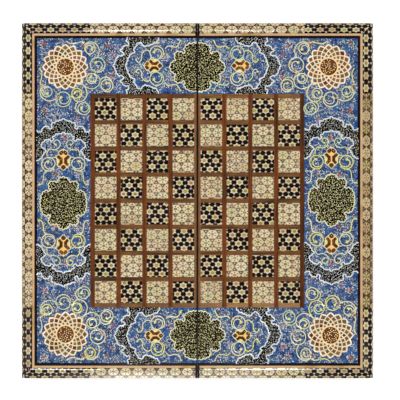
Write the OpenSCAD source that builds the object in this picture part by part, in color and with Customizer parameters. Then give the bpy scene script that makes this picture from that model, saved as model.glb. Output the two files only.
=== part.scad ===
// Folding marquetry game box, opened flat with its chess faces up.
// Each half is a shallow tray that stands on its rim. The two trays meet at x = 0,
// where three small butt hinges join them, and fold down and under to close.
// +X is across the hinge line, +Y is along it, +Z is up, and z = 0 is the table.

/* [Board] */
// Length of the board along the hinge line
board_len = 500; // [460:5:540]
// Width of one half, from its hinge face to its outer face
half_w = 246.5; // [230:0.5:270]
// Gap between the hinge faces of the two halves
hinge_gap = 1.2; // [0.8:0.1:1.6]
// Height of one tray, from its rim to the playing face
tray_h = 36; // [32:1:50]

/* [Tray] */
// Thickness of the front, back and outer rails
rail_t = 10.5; // [10:0.5:14]
// Thickness of the hinge rail
hinge_rail_t = 12; // [10:0.5:16]
// Thickness of the decorated veneer on the outer sides
veneer_t = 1.5; // [0.8:0.1:2]
// Thickness of the strip that covers the rim
edging_t = 1.2; // [0.8:0.1:2]
// Thickness of the deck panel
deck_t = 4; // [3:0.5:6]
// Thickness of the inner lining under the deck
lining_t = 2; // [1.5:0.1:3]

/* [Playing face] */
// Thickness of the marquetry, the strips and the painted panel
marquetry_t = 1.2; // [1:0.1:2]
// Size of a square across the hinge line
square_w = 30.2; // [26:0.1:31]
// Size of a square along the hinge line
square_l = 30.5; // [26:0.1:31]
// Width of the wood bars between the squares
bar_w = 6.3; // [4:0.1:7]
// Width of the bar beside the hinge line on each half
middle_bar_w = 4.0; // [3:0.1:5]

/* [Border] */
// Width of the rounded moulding round the board
moulding_w = 14.5; // [13:0.5:18]
// Height of the moulding's crown above the playing face
moulding_rise = 2.0; // [1:0.1:3]
// Distance of the crown from the moulding's inner edge
crown_inset = 6.2; // [5.5:0.1:7]
// Height of the moulding's outer edge above the deck
outer_land = 0.45; // [0.3:0.05:0.8]
// Thickness of the dark caps that end the moulding and the gold line at the hinge line
cap_t = 2.4; // [1.5:0.1:4]
// Width of the gold line inside the moulding
gold_w = 3.1; // [2:0.1:4]
// Width of the dark line inside the gold line
ebony_w = 2.7; // [2:0.1:4]

/* [Backgammon field] */
// Length of a point, from its base at the rail to its tip
point_len = 172; // [140:1:190]
// Width of a point at its base
point_base = 31; // [26:0.5:32]
// Width of a point at its tip
point_tip = 2.4; // [1.5:0.1:4]
// Depth of the inlaid points in the lining
inlay_t = 0.8; // [0.4:0.1:1.2]

/* [Hinges] */
// Length of one hinge
hinge_len = 60; // [50:1:80]
// Distance between the centres of neighbouring hinges
hinge_pitch = 165; // [140:1:180]
// Outer radius of the hinge barrel
knuckle_r = 1.5; // [1.4:0.05:1.8]
// Radius of the hinge pin
pin_r = 0.7; // [0.5:0.05:0.9]
// Thickness of a hinge leaf
leaf_t = 1.0; // [0.8:0.05:1.2]
// Height of a hinge leaf above the hinge axis
leaf_h = 16; // [13:0.5:20]
// Radius of a hinge screw's shank
screw_r = 1.0; // [0.8:0.05:1.2]
// Radius of a hinge screw's head
screw_head_r = 1.9; // [1.6:0.05:2.2]
// Length of a hinge screw
screw_len = 9; // [7:0.5:9.5]
// Distance between the screws of one leaf
screw_pitch = 21; // [18:0.5:22]

/* [Closing studs] */
// Radius of a closing stud
stud_r = 3.5; // [3:0.1:3.8]
// Depth that a stud is let into its rail
stud_seat = 7; // [5:0.5:10]
// Bevel on the foot of a stud
stud_bevel = 0.5; // [0.3:0.1:0.8]
// Wall and floor thickness of a steel cup
cup_t = 0.7; // [0.5:0.05:0.8]
// Distance of the left half's studs from the middle of the board
left_stud_y = 190; // [170:1:200]
// Distance of the right half's studs from the middle of the board
right_stud_y = 120; // [100:1:150]

/* [Fits] */
// Radial clearance of the pin in the turning knuckles
pin_clear = 0.06; // [0.03:0.01:0.08]
// End gap between two knuckles
knuckle_gap = 0.25; // [0.15:0.05:0.4]
// Clearance round the barrel in the rail and in the other leaf
barrel_clear = 0.35; // [0.25:0.05:0.5]
// Half the slit between the two rims when the box is closed
rim_clear = 0.2; // [0.1:0.05:0.4]
// Radial clearance of the screws and studs in their holes
hole_clear = 0.05; // [0.03:0.01:0.1]
// Side clearance of a stud in the cup of the other half
stud_clear = 0.4; // [0.3:0.05:0.5]
// Gap between the stud and the floor of the cup when closed
stud_end_gap = 0.3; // [0.2:0.05:0.5]

/* [Hidden] */
$fn = 64;

// The two halves, as the sign of x
LEFT = -1;
RIGHT = 1;

// A chess board has eight rows, and each half holds four columns
ROWS = 8;
HALF_COLS = 4;
// A backgammon board has six points along each long side of each half
POINTS = 6;
HINGES = 3;
KNUCKLES = 5;
SCREWS = 3;

// Plan: hinge face, outer face and the walls between them
face_x = hinge_gap / 2;
outer_x = face_x + half_w;
edge_y = board_len / 2;
rail_outer_x = outer_x - veneer_t;
rail_outer_y = edge_y - veneer_t;
hollow_x0 = face_x + hinge_rail_t;
hollow_x1 = rail_outer_x - rail_t;
hollow_y = rail_outer_y - rail_t;

// Heights, from the table up
axis_z = knuckle_r;
rim_z = axis_z + rim_clear;
face_z = rim_z + tray_h;
deck_top_z = face_z - marquetry_t;
deck_z = deck_top_z - deck_t;
lining_z = deck_z - lining_t;
rail_z = rim_z + edging_t;

// Playing field
pitch_x = square_w + bar_w;
pitch_y = square_l + bar_w;
squares_x0 = face_x + middle_bar_w;
field_x1 = squares_x0 + HALF_COLS * pitch_x;
field_y = (ROWS * pitch_y + bar_w) / 2;
panel_inset = moulding_w + gold_w + ebony_w;

// Moulding profile: an arc from the outer edge over the crown to the inner edge
crown_h = marquetry_t + moulding_rise;
crown_u = moulding_w - crown_inset;
crown_drop = crown_h - outer_land;
crown_r = (crown_u * crown_u + crown_drop * crown_drop) / (2 * crown_drop);

// Hinges
knuckle_pitch = hinge_len / KNUCKLES;
knuckle_len = knuckle_pitch - knuckle_gap;
leaf_top_z = axis_z + leaf_h;
screw_z = (axis_z + knuckle_r + leaf_top_z) / 2;

// Closing studs and cups
stud_x = rail_outer_x - rail_t / 2;
cup_r = stud_r + stud_clear;
cup_floor_z = 2 * axis_z + stud_end_gap;

// Extra reach of a cutting body past what it cuts, and of a joined one into its neighbour
eps = 1;

// Draws a right-hand part as it is, or mirrored for the left half
module half(side) {
    if (side == LEFT)
        mirror([1, 0, 0]) children();
    else
        children();
}

// A box from one corner to the opposite one
module block(low, high) {
    translate(low) cube(high - low);
}

// A rod along Y, centred on the hinge axis, from y0 to y1
module axis_rod(r, y0, y1) {
    translate([0, y1, axis_z]) rotate([90, 0, 0]) cylinder(r = r, h = y1 - y0);
}

// Plan of a band along the front edge, mitred where it meets the outer edge
module front_plan(inset, width, x0) {
    polygon([
        [x0, -edge_y + inset],
        [outer_x - inset, -edge_y + inset],
        [outer_x - inset - width, -edge_y + inset + width],
        [x0, -edge_y + inset + width]
    ]);
}

// Plan of a band along the outer edge, mitred at both ends
module outer_plan(inset, width) {
    polygon([
        [outer_x - inset, -edge_y + inset],
        [outer_x - inset, edge_y - inset],
        [outer_x - inset - width, edge_y - inset - width],
        [outer_x - inset - width, -edge_y + inset + width]
    ]);
}

// Three mitred strips round the front, outer and back edges of one half
module edge_strips(inset, width, z0, z1, x0) {
    translate([0, 0, z0]) {
        linear_extrude(z1 - z0) front_plan(inset, width, x0);
        linear_extrude(z1 - z0) mirror([0, 1]) front_plan(inset, width, x0);
        linear_extrude(z1 - z0) outer_plan(inset, width);
    }
}

// Centre places of the hinges along the board
function hinge_y(i) = (i - (HINGES - 1) / 2) * hinge_pitch;

// Start of a knuckle along its hinge
function knuckle_y(i) = -hinge_len / 2 + i * knuckle_pitch + knuckle_gap / 2;

// Places of the studs and cups of one half
function stud_y(side) = side == LEFT ? left_stud_y : right_stud_y;

// Room for the barrels and leaves in the hinge rail and the rim edging
module hinge_room() {
    for (i = [0 : HINGES - 1]) {
        y = hinge_y(i);
        reach = hinge_len / 2 + barrel_clear;
        axis_rod(knuckle_r + barrel_clear, y - reach, y + reach);
        block([face_x - eps, y - hinge_len / 2, 0], [face_x + leaf_t, y + hinge_len / 2, leaf_top_z]);
    }
}

// Holes for this half's studs, and for the cups that take the other half's studs
module stud_room(side) {
    for (s = [-1, 1]) {
        translate([stud_x, s * stud_y(side), 0])
            cylinder(r = stud_r + hole_clear, h = rim_z + stud_seat);
        translate([stud_x, s * stud_y(-side), 0])
            cylinder(r = cup_r + cup_t, h = cup_floor_z + cup_t);
    }
}

// Plywood panel over the rails, which carries the marquetry
module deck_panel() {
    color("burlywood")
        block([face_x, -rail_outer_y, deck_z], [rail_outer_x, rail_outer_y, deck_top_z]);
}

// Walnut rail along the front edge
module front_rail() {
    color("saddlebrown")
        block([face_x, -rail_outer_y, rail_z], [rail_outer_x, -hollow_y, deck_z]);
}

// Walnut rail along the back edge
module back_rail() {
    mirror([0, 1, 0]) front_rail();
}

// Walnut rail along the outer edge, bored for the studs and cups
module outer_rail(side) {
    color("saddlebrown") difference() {
        block([hollow_x1, -hollow_y, rail_z], [rail_outer_x, hollow_y, deck_z]);
        stud_room(side);
    }
}

// Walnut rail at the hinge line, let out for the hinges and their screws
module hinge_rail() {
    color("saddlebrown") difference() {
        block([face_x, -hollow_y, rail_z], [hollow_x0, hollow_y, deck_z]);
        hinge_room();
        at_screws() cylinder(r = screw_r + hole_clear, h = screw_len + hole_clear);
    }
}

// Decorated veneer on the front, outer and back sides
module side_veneer() {
    color("tan") edge_strips(0, veneer_t, rail_z, deck_top_z, face_x);
}

// Thin strip that covers the rim all round
module rim_edging(side) {
    color("sienna") difference() {
        block([face_x, -edge_y, rim_z], [outer_x, edge_y, rail_z]);
        block([hollow_x0, -hollow_y, rim_z - eps], [hollow_x1, hollow_y, rail_z + eps]);
        hinge_room();
        stud_room(side);
    }
}

// Section of the moulding: u runs inwards from the outer edge and v runs up from the deck
module moulding_section() {
    intersection() {
        square([moulding_w, crown_h]);
        translate([crown_u, crown_h - crown_r]) circle(r = crown_r, $fn = 128);
    }
}

// Straight moulding along the front edge, from x0 to x1
module front_run(x0, x1) {
    translate([x0, -edge_y, deck_top_z]) rotate([90, 0, 90])
        linear_extrude(x1 - x0) moulding_section();
}

// Straight moulding along the outer edge, from y0 to y1
module outer_run(y0, y1) {
    translate([outer_x, y1, deck_top_z]) rotate([90, 0, 0])
        linear_extrude(y1 - y0) mirror([1, 0]) moulding_section();
}

// Light moulding along the front of the chess field
module front_moulding() {
    color("wheat") front_run(face_x + cap_t, field_x1);
}

// Light moulding along the back of the chess field
module back_moulding() {
    mirror([0, 1, 0]) front_moulding();
}

// Light moulding along the outer side of the chess field
module outer_moulding() {
    color("wheat") outer_run(-field_y, field_y);
}

// Dark mitred moulding round one corner
module corner_moulding() {
    color("dimgray") {
        intersection() {
            front_run(field_x1, outer_x);
            linear_extrude(face_z + moulding_rise + eps) front_plan(0, moulding_w, field_x1);
        }
        intersection() {
            outer_run(-edge_y, -field_y);
            linear_extrude(face_z + moulding_rise + eps) outer_plan(0, moulding_w);
        }
    }
}

// The two dark corners of one half
module corner_mouldings() {
    corner_moulding();
    mirror([0, 1, 0]) corner_moulding();
}

// Ebony cap on the ends of the front moulding and its gold line
module end_cap() {
    y0 = -edge_y + moulding_w;
    front_run(face_x, face_x + cap_t);
    block([face_x, y0 - eps, deck_top_z], [face_x + cap_t, y0 + gold_w, face_z]);
}

// Ebony caps of one half at the hinge line
module moulding_end_caps() {
    color("black") {
        end_cap();
        mirror([0, 1, 0]) end_cap();
    }
}

// Gold strips inside the moulding
module gold_line() {
    color("goldenrod") edge_strips(moulding_w, gold_w, deck_top_z, face_z, face_x + cap_t);
}

// Ebony strips inside the gold line
module ebony_line() {
    color("black") edge_strips(moulding_w + gold_w, ebony_w, deck_top_z, face_z, face_x);
}

// Painted panel round three sides of the chess field
module painted_border() {
    panel_y = edge_y - panel_inset;
    color("royalblue") difference() {
        block([face_x, -panel_y, deck_top_z], [outer_x - panel_inset, panel_y, face_z]);
        block([face_x - eps, -field_y, deck_top_z - eps], [field_x1, field_y, face_z + eps]);
    }
}

// Wood bars along the board: one at the hinge line and one beyond each column
module long_bars() {
    color("brown") {
        block([face_x, -field_y, deck_top_z], [squares_x0, field_y, face_z]);
        for (col = [0 : HALF_COLS - 1]) {
            x1 = squares_x0 + (col + 1) * pitch_x;
            block([x1 - bar_w, -field_y, deck_top_z], [x1, field_y, face_z]);
        }
    }
}

// Short wood bars between the squares of each column
module cross_bars() {
    color("peru") for (col = [0 : HALF_COLS - 1], row = [0 : ROWS]) {
        x0 = squares_x0 + col * pitch_x;
        y0 = -field_y + row * pitch_y;
        block([x0, y0, deck_top_z], [x0 + square_w, y0 + bar_w, face_z]);
    }
}

// Every second square: with odd at 0, one lies at the hinge line in the front row
module squares(odd) {
    for (col = [0 : HALF_COLS - 1], row = [0 : ROWS - 1]) if ((row + col) % 2 == odd) {
        x0 = squares_x0 + col * pitch_x;
        y0 = -field_y + bar_w + row * pitch_y;
        block([x0, y0, deck_top_z], [x0 + square_w, y0 + square_l, face_z]);
    }
}

// Dark squares, one of them at the board's back left corner
module dark_squares(side) {
    color("dimgray") squares(side == LEFT ? 0 : 1);
}

// Light squares
module light_squares(side) {
    color("wheat") squares(side == LEFT ? 1 : 0);
}

// Plan of every second backgammon point along the front and back rails
module points_plan(odd) {
    point_pitch = (hollow_x1 - hollow_x0) / POINTS;
    for (i = [0 : POINTS - 1], end = [0, 1]) if ((i + end) % 2 == odd) {
        x = hollow_x0 + (i + 0.5) * point_pitch;
        mirror([0, end]) translate([x, -hollow_y]) polygon([
            [-point_base / 2, 0], [point_base / 2, 0],
            [point_tip / 2, point_len], [-point_tip / 2, point_len]
        ]);
    }
}

// The inlaid points, flush with the face of the lining
module points(odd, depth) {
    translate([0, 0, lining_z + inlay_t - depth]) linear_extrude(depth) points_plan(odd);
}

// Wood lining of the backgammon field, recessed for the points
module lining() {
    color("peru") difference() {
        block([hollow_x0, -hollow_y, lining_z], [hollow_x1, hollow_y, deck_z]);
        points(0, inlay_t + eps);
        points(1, inlay_t + eps);
    }
}

// Dark inlaid points
module dark_points() {
    color("maroon") points(0, inlay_t);
}

// Light inlaid points
module light_points() {
    color("wheat") points(1, inlay_t);
}

// Places a shape, drawn along +Z, at every hinge screw, pointing into the rail
module at_screws() {
    for (i = [0 : HINGES - 1], j = [0 : SCREWS - 1])
        translate([face_x, hinge_y(i) + (j - (SCREWS - 1) / 2) * screw_pitch, screw_z])
            rotate([0, 90, 0]) children();
}

// Countersunk head, from the leaf's face to its back
module screw_head() {
    cylinder(r1 = screw_head_r, r2 = screw_r, h = leaf_t);
}

// One leaf with its own knuckles; first is 0 or 1
module hinge_leaf(first) {
    difference() {
        union() {
            block([face_x, -hinge_len / 2, axis_z], [face_x + leaf_t, hinge_len / 2, leaf_top_z]);
            for (i = [first : 2 : KNUCKLES - 1])
                axis_rod(knuckle_r, knuckle_y(i), knuckle_y(i) + knuckle_len);
        }
        for (i = [1 - first : 2 : KNUCKLES - 1]) {
            y = knuckle_y(i) - knuckle_gap;
            axis_rod(knuckle_r + barrel_clear, y, y + knuckle_pitch + knuckle_gap);
        }
        axis_rod(first == 0 ? pin_r : pin_r + pin_clear, -hinge_len, hinge_len);
    }
}

// The brass leaves of one half: three knuckles on the left, two on the right
module hinge_leaves(side) {
    color("gold") difference() {
        for (i = [0 : HINGES - 1])
            translate([0, hinge_y(i), 0]) hinge_leaf(side == LEFT ? 0 : 1);
        at_screws() screw_head();
    }
}

// Countersunk brass screws of one half
module hinge_screws() {
    color("khaki") at_screws() {
        screw_head();
        cylinder(r = screw_r, h = screw_len);
    }
}

// Pins pressed into the left half's knuckles
module hinge_pins() {
    reach = (hinge_len - knuckle_gap) / 2;
    color("silver") for (i = [0 : HINGES - 1])
        axis_rod(pin_r, hinge_y(i) - reach, hinge_y(i) + reach);
}

// Magnet studs in the outer rim: the feet of the open board and its closing pegs
module magnet_studs(side) {
    color("silver") for (s = [-1, 1])
        translate([stud_x, s * stud_y(side), 0]) rotate_extrude() polygon([
            [0, 0], [stud_r - stud_bevel, 0], [stud_r, stud_bevel],
            [stud_r, rim_z + stud_seat], [0, rim_z + stud_seat]
        ]);
}

// Steel cups that take the other half's studs when the box is closed
module steel_cups(side) {
    color("gray") for (s = [-1, 1])
        translate([stud_x, s * stud_y(-side), 0]) difference() {
            translate([0, 0, rim_z]) cylinder(r = cup_r + cup_t, h = cup_floor_z + cup_t - rim_z);
            cylinder(r = cup_r, h = cup_floor_z);
        }
}

half(LEFT) deck_panel();  // left_deck_panel
half(LEFT) front_rail();  // left_front_rail
half(LEFT) back_rail();  // left_back_rail
half(LEFT) outer_rail(LEFT);  // left_outer_rail
half(LEFT) hinge_rail();  // left_hinge_rail
half(LEFT) side_veneer();  // left_side_veneer
half(LEFT) rim_edging(LEFT);  // left_rim_edging
half(LEFT) front_moulding();  // left_front_moulding
half(LEFT) back_moulding();  // left_back_moulding
half(LEFT) outer_moulding();  // left_outer_moulding
half(LEFT) corner_mouldings();  // left_corner_mouldings
half(LEFT) moulding_end_caps();  // left_moulding_end_caps
half(LEFT) gold_line();  // left_gold_line
half(LEFT) ebony_line();  // left_ebony_line
half(LEFT) painted_border();  // left_painted_border
half(LEFT) long_bars();  // left_long_bars
half(LEFT) cross_bars();  // left_cross_bars
half(LEFT) dark_squares(LEFT);  // left_dark_squares
half(LEFT) light_squares(LEFT);  // left_light_squares
half(LEFT) lining();  // left_lining
half(LEFT) dark_points();  // left_dark_points
half(LEFT) light_points();  // left_light_points
half(LEFT) hinge_leaves(LEFT);  // left_hinge_leaves
half(LEFT) hinge_screws();  // left_hinge_screws
half(LEFT) magnet_studs(LEFT);  // left_magnet_studs
half(LEFT) steel_cups(LEFT);  // left_steel_cups
half(RIGHT) deck_panel();  // right_deck_panel
half(RIGHT) front_rail();  // right_front_rail
half(RIGHT) back_rail();  // right_back_rail
half(RIGHT) outer_rail(RIGHT);  // right_outer_rail
half(RIGHT) hinge_rail();  // right_hinge_rail
half(RIGHT) side_veneer();  // right_side_veneer
half(RIGHT) rim_edging(RIGHT);  // right_rim_edging
half(RIGHT) front_moulding();  // right_front_moulding
half(RIGHT) back_moulding();  // right_back_moulding
half(RIGHT) outer_moulding();  // right_outer_moulding
half(RIGHT) corner_mouldings();  // right_corner_mouldings
half(RIGHT) moulding_end_caps();  // right_moulding_end_caps
half(RIGHT) gold_line();  // right_gold_line
half(RIGHT) ebony_line();  // right_ebony_line
half(RIGHT) painted_border();  // right_painted_border
half(RIGHT) long_bars();  // right_long_bars
half(RIGHT) cross_bars();  // right_cross_bars
half(RIGHT) dark_squares(RIGHT);  // right_dark_squares
half(RIGHT) light_squares(RIGHT);  // right_light_squares
half(RIGHT) lining();  // right_lining
half(RIGHT) dark_points();  // right_dark_points
half(RIGHT) light_points();  // right_light_points
half(RIGHT) hinge_leaves(RIGHT);  // right_hinge_leaves
half(RIGHT) hinge_screws();  // right_hinge_screws
half(RIGHT) magnet_studs(RIGHT);  // right_magnet_studs
half(RIGHT) steel_cups(RIGHT);  // right_steel_cups
hinge_pins();
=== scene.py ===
"""Scene of a folding game board in star marquetry, lying open with its chess face up.

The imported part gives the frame. The marquetry, its mouldings and the painted border's ornament are built
here from real slivers, plates and raised lines. Planning is in millimetres, and meshes are in metres.
"""
import math
import random

import bpy
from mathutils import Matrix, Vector, noise
from mathutils.geometry import tessellate_polygon


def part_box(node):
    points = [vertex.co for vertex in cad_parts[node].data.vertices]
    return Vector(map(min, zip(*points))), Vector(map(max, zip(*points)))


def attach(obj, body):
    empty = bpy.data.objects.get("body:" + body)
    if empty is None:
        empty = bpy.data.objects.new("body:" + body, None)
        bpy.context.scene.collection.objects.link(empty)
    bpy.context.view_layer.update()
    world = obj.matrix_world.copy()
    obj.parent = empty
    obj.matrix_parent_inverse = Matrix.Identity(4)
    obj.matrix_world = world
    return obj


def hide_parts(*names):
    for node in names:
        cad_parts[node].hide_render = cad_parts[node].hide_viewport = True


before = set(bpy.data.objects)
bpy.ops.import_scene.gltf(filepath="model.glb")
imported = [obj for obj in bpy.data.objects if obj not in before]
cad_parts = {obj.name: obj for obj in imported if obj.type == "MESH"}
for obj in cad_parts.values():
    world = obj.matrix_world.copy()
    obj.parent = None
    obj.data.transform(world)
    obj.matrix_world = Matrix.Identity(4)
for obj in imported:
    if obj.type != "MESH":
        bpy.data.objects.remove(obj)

MM = 0.001
ROOT3 = math.sqrt(3)
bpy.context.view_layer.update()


def box_mm(node):
    low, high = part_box(node)
    return [v / MM for v in low], [v / MM for v in high]


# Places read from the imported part's right half
(mould_x0, _, DECK_TOP), (OUTER_X, LIGHT_Y, CROWN_Z) = box_mm("right_outer_moulding")
(CAP_X, _, _), (LIGHT_X, EDGE_Y, _) = box_mm("right_back_moulding")
(HINGE_X, _, _), (PANEL_X, PANEL_Y, FACE_Z) = box_mm("right_painted_border")
(SQUARES_X0, SQUARES_Y0, _), (SQUARES_X1, SQUARES_Y1, _) = box_mm("right_dark_squares")
(_, _, VENEER_Z0), (_, _, VENEER_Z1) = box_mm("right_side_veneer")

# The chess field, whose edges are level with the ends of the light mouldings
FIELD_X = LIGHT_X
FIELD_Y = LIGHT_Y
SQUARE_W = 30.2
SQUARE_L = 30.5
COLS = 4
ROWS = 8
PITCH_X = (SQUARES_X1 - SQUARES_X0 - SQUARE_W) / (COLS - 1)
PITCH_Y = (SQUARES_Y1 - SQUARES_Y0 - SQUARE_L) / (ROWS - 1)

# Arc of the moulding: its crown lies this far from the outer edge, which stands this far above the deck
CROWN_U = 8.3
OUTER_LAND = 0.45
MOULD_W = OUTER_X - mould_x0
CROWN_RISE = CROWN_Z - DECK_TOP - OUTER_LAND
CROWN_R = (CROWN_U ** 2 + CROWN_RISE ** 2) / (2 * CROWN_RISE)
ARC_START = math.asin(CROWN_U / CROWN_R)
ARC_LENGTH = CROWN_R * (ARC_START + math.asin((MOULD_W - CROWN_U) / CROWN_R))
ARC_STRIPS = 7
VENEER_T = 1.5

# Heights of the paint: where plates and walls start inside the panel, and the tops of the layers over it
PAINT_BASE = FACE_Z - 0.03
SPECK_TOP = FACE_Z + 0.08
PLATE_TOP = FACE_Z + 0.10
CELL_TOP = PLATE_TOP + 0.03
INLAY_TOP = FACE_Z + 0.16
INLAY_CELL_TOP = INLAY_TOP + 0.04
ON_PLATE = PLATE_TOP + 0.08
ON_INLAY = INLAY_TOP + 0.08
COLLAR_TOP = ON_INLAY + 0.01
DISC_TOP = ON_INLAY + 0.02
LINE_TOP = FACE_Z + 0.28
DETAIL_TOP = FACE_Z + 0.34
# A touch of the brush starts this far below its top, just inside what it lies on
RELIEF = 0.09


# Colours and finishes

SLIVERS = {
    "bone": (216, 200, 162), "straw": (210, 190, 142), "peach_wood": (214, 188, 152),
    "lime_wood": (202, 192, 145), "fawn": (190, 166, 128), "ivory": (230, 219, 192),
    "brass_wire": (172, 150, 92), "olive_wire": (142, 124, 76), "tan_bone": (156, 128, 90),
    "umber": (76, 52, 30), "bark": (50, 34, 20), "black_wood": (18, 11, 4), "brown_black": (30, 19, 8),
    "lilac_bone": (204, 194, 196), "ash_bone": (138, 126, 112), "rose_bone": (198, 168, 148),
}
PAINTS = {
    "cream_paint": (220, 218, 178), "sage_paint": (196, 210, 172), "pearl_paint": (216, 220, 220),
    "gold_paint": (234, 200, 122), "lemon_paint": (224, 222, 128), "peach_paint": (242, 210, 158),
    "silver_paint": (212, 216, 220), "soot_paint": (10, 9, 10), "olive_soot": (18, 14, 4),
    "ochre_paint": (206, 196, 140), "khaki_paint": (132, 118, 70), "brick_paint": (132, 72, 34),
    "wine_paint": (92, 46, 22), "mocha_paint": (132, 100, 68), "mauve_paint": (148, 112, 98),
    "rose_paint": (196, 146, 138), "coral_paint": (178, 96, 80), "umber_paint": (112, 88, 52),
    "plum_paint": (116, 84, 66), "blush_paint": (244, 226, 200), "straw_paint": (228, 222, 160),
    "lilac_paint": (172, 174, 192), "ice_paint": (190, 210, 214), "sky_paint": (108, 148, 184),
    "teal_paint": (52, 104, 114), "navy_paint": (26, 34, 64), "moss_paint": (92, 102, 82),
    "violet_paint": (86, 82, 122), "slate_paint": (92, 102, 110),
}

# Bars that are paler or darker than the rest: beside the split, along the right edge, and at front and back.
# Each patch has a tint, its strength, and fades: an axis, and where along it the tint starts and is full
TAN = (158, 124, 84)
DEEP = (40, 24, 12)
LONG_BAR_PATCHES = [
    (TAN, 0.38, [("X", 6, 5), ("X", -6, -5)]),
    (DEEP, 0.45, [("X", 136, 140)]),
    (DEEP, 0.12, [("X", -136, -140)]),
]
CROSS_BAR_PATCHES = [
    ((184, 138, 88), 0.65, [("Y", -142, -145), ("X", -40, 60)]),
    ((160, 120, 76), 0.25, [("Y", -142, -145), ("X", 60, -40)]),
    ((170, 126, 70), 0.25, [("Y", 142, 145), ("X", -20, 20)]),
    (DEEP, 0.3, [("Y", 142, 145), ("X", 20, -20)]),
]

# Most values of a noise lie between these
NOISE_LOW = 0.3
NOISE_HIGH = 0.7

# Sockets of a mix: its first and second value, and its result
MIX_SOCKETS = {"FLOAT": (2, 3, 0), "RGBA": (6, 7, 2)}

finishes = {}


def linear(rgb):
    """Scene colour of a colour given as 0 to 255 on the screen."""
    def one(v):
        v /= 255
        return v / 12.92 if v <= 0.04045 else ((v + 0.055) / 1.055) ** 2.4
    return (*[one(v) for v in rgb], 1.0)


class Graph:
    """Nodes of a material or of the world."""

    def __init__(self, owner):
        owner.use_nodes = True
        self.nodes = owner.node_tree.nodes
        self.links = owner.node_tree.links

    def feed(self, socket, value):
        """Links the socket to another node's result, or gives it a plain value."""
        if isinstance(value, bpy.types.NodeSocket):
            self.links.new(value, socket)
        else:
            socket.default_value = value

    def fill(self, sockets, **values):
        """Feeds the named sockets. An underscore in a name stands for a space."""
        for name, value in values.items():
            self.feed(sockets[name.replace("_", " ")], value)

    def node(self, kind, **inputs):
        """New node with its inputs fed."""
        node = self.nodes.new(f"ShaderNode{kind}")
        self.fill(node.inputs, **inputs)
        return node

    def math(self, operation, first, second):
        node = self.node("Math")
        node.operation = operation
        self.feed(node.inputs[0], first)
        self.feed(node.inputs[1], second)
        return node.outputs[0]

    def mix(self, kind, share, first, second):
        """Blend that is all of the first where share is 0, and all of the second where it is 1."""
        node = self.node("Mix")
        node.data_type = kind
        first_in, second_in, result = MIX_SOCKETS[kind]
        self.feed(node.inputs["Factor"], share)
        self.feed(node.inputs[first_in], first)
        self.feed(node.inputs[second_in], second)
        return node.outputs[result]

    def remap(self, value, start, end, low=0.0, high=1.0):
        """Runs from low to high while the value runs from start to end."""
        span = self.node("MapRange", Value=value, From_Min=start, From_Max=end, To_Min=low, To_Max=high)
        return span.outputs["Result"]

    def noise(self, scale, stretch=(1, 1, 1), detail=4.0, distortion=0.0):
        coords = self.node("TexCoord")
        mapping = self.node("Mapping", Vector=coords.outputs["Object"], Scale=stretch)
        texture = self.node("TexNoise", Vector=mapping.outputs["Vector"], Scale=scale, Detail=detail,
                            Distortion=distortion)
        return texture.outputs["Fac"]

    def ramp(self, value, tints):
        """Colour that runs through evenly spaced tints over a noise's values."""
        node = self.node("ValToRGB", Fac=value)
        stops = node.color_ramp.elements
        while len(stops) < len(tints):
            stops.new(0.5)
        for i, tint in enumerate(tints):
            stops[i].position = NOISE_LOW + (NOISE_HIGH - NOISE_LOW) * i / (len(tints) - 1)
            stops[i].color = linear(tint)
        return node.outputs["Color"]

    def patched(self, colour, patches):
        """Mixes each patch's tint into a colour, in the places where all of the patch's fades are in."""
        coords = self.node("TexCoord")
        place = self.node("SeparateXYZ", Vector=coords.outputs["Object"])
        for tint, share, fades in patches:
            for axis, first, last in fades:
                share = self.math("MULTIPLY", share, self.remap(place.outputs[axis], first * MM, last * MM))
            colour = self.mix("RGBA", share, colour, linear(tint))
        return colour


class Finish(Graph):
    """Material that goes on the list of finishes, with the inputs of its shader."""

    def __init__(self, name):
        self.material = finishes[name] = bpy.data.materials.new(name)
        super().__init__(self.material)
        self.shader = self.nodes["Principled BSDF"].inputs

    def surface(self, colour, marks, rough, depth, specular=0.5, gloss_marks=None):
        """Marks drive the bump, depth millimetres deep, and the gloss unless that has marks of its own."""
        bump = self.node("Bump", Height=marks, Distance=depth * MM, Strength=0.6)
        gloss = self.remap(gloss_marks or marks, NOISE_LOW, NOISE_HIGH, *rough)
        self.fill(self.shader, Base_Color=colour, Roughness=gloss, Normal=bump.outputs["Normal"],
                  Specular_IOR_Level=specular)

    def lacquer(self, weight, roughness=0.07):
        self.fill(self.shader, Coat_Weight=weight, Coat_Roughness=roughness, Coat_IOR=1.5)


def flat_tint(name, rgb, coat=0.5, coat_roughness=0.07):
    """One sliver or paint tint under lacquer, with fine grain in its gloss and its surface."""
    finish = Finish(name)
    grain = finish.noise(900, stretch=(1, 3, 1))
    finish.surface(linear(rgb), grain, rough=(0.38, 0.62), depth=0.02, specular=0.03)
    finish.lacquer(coat, coat_roughness)


def wood(name, tints, fibre, along="Y", coat=0.5, patches=()):
    """Wood with fibres along one axis: broad colour bands, fine dark pores and a bump that follows them."""
    finish = Finish(name)
    stretch = {"X": (0.06, 1, 1), "Y": (1, 0.06, 1)}[along]
    bands = finish.noise(fibre, stretch, detail=6, distortion=0.4)
    pores = finish.noise(fibre * 7, stretch, detail=3)
    colour = finish.ramp(bands, tints)
    if patches:
        colour = finish.patched(colour, patches)
    shaded = finish.node("VectorMath")
    shaded.operation = "SCALE"
    finish.fill(shaded.inputs, Vector=colour, Scale=finish.remap(pores, 0.35, 0.6, low=0.62, high=1.06))
    finish.surface(shaded.outputs["Vector"], pores, rough=(0.35, 0.6), depth=0.04, specular=0.05,
                   gloss_marks=bands)
    finish.lacquer(coat)


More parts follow.
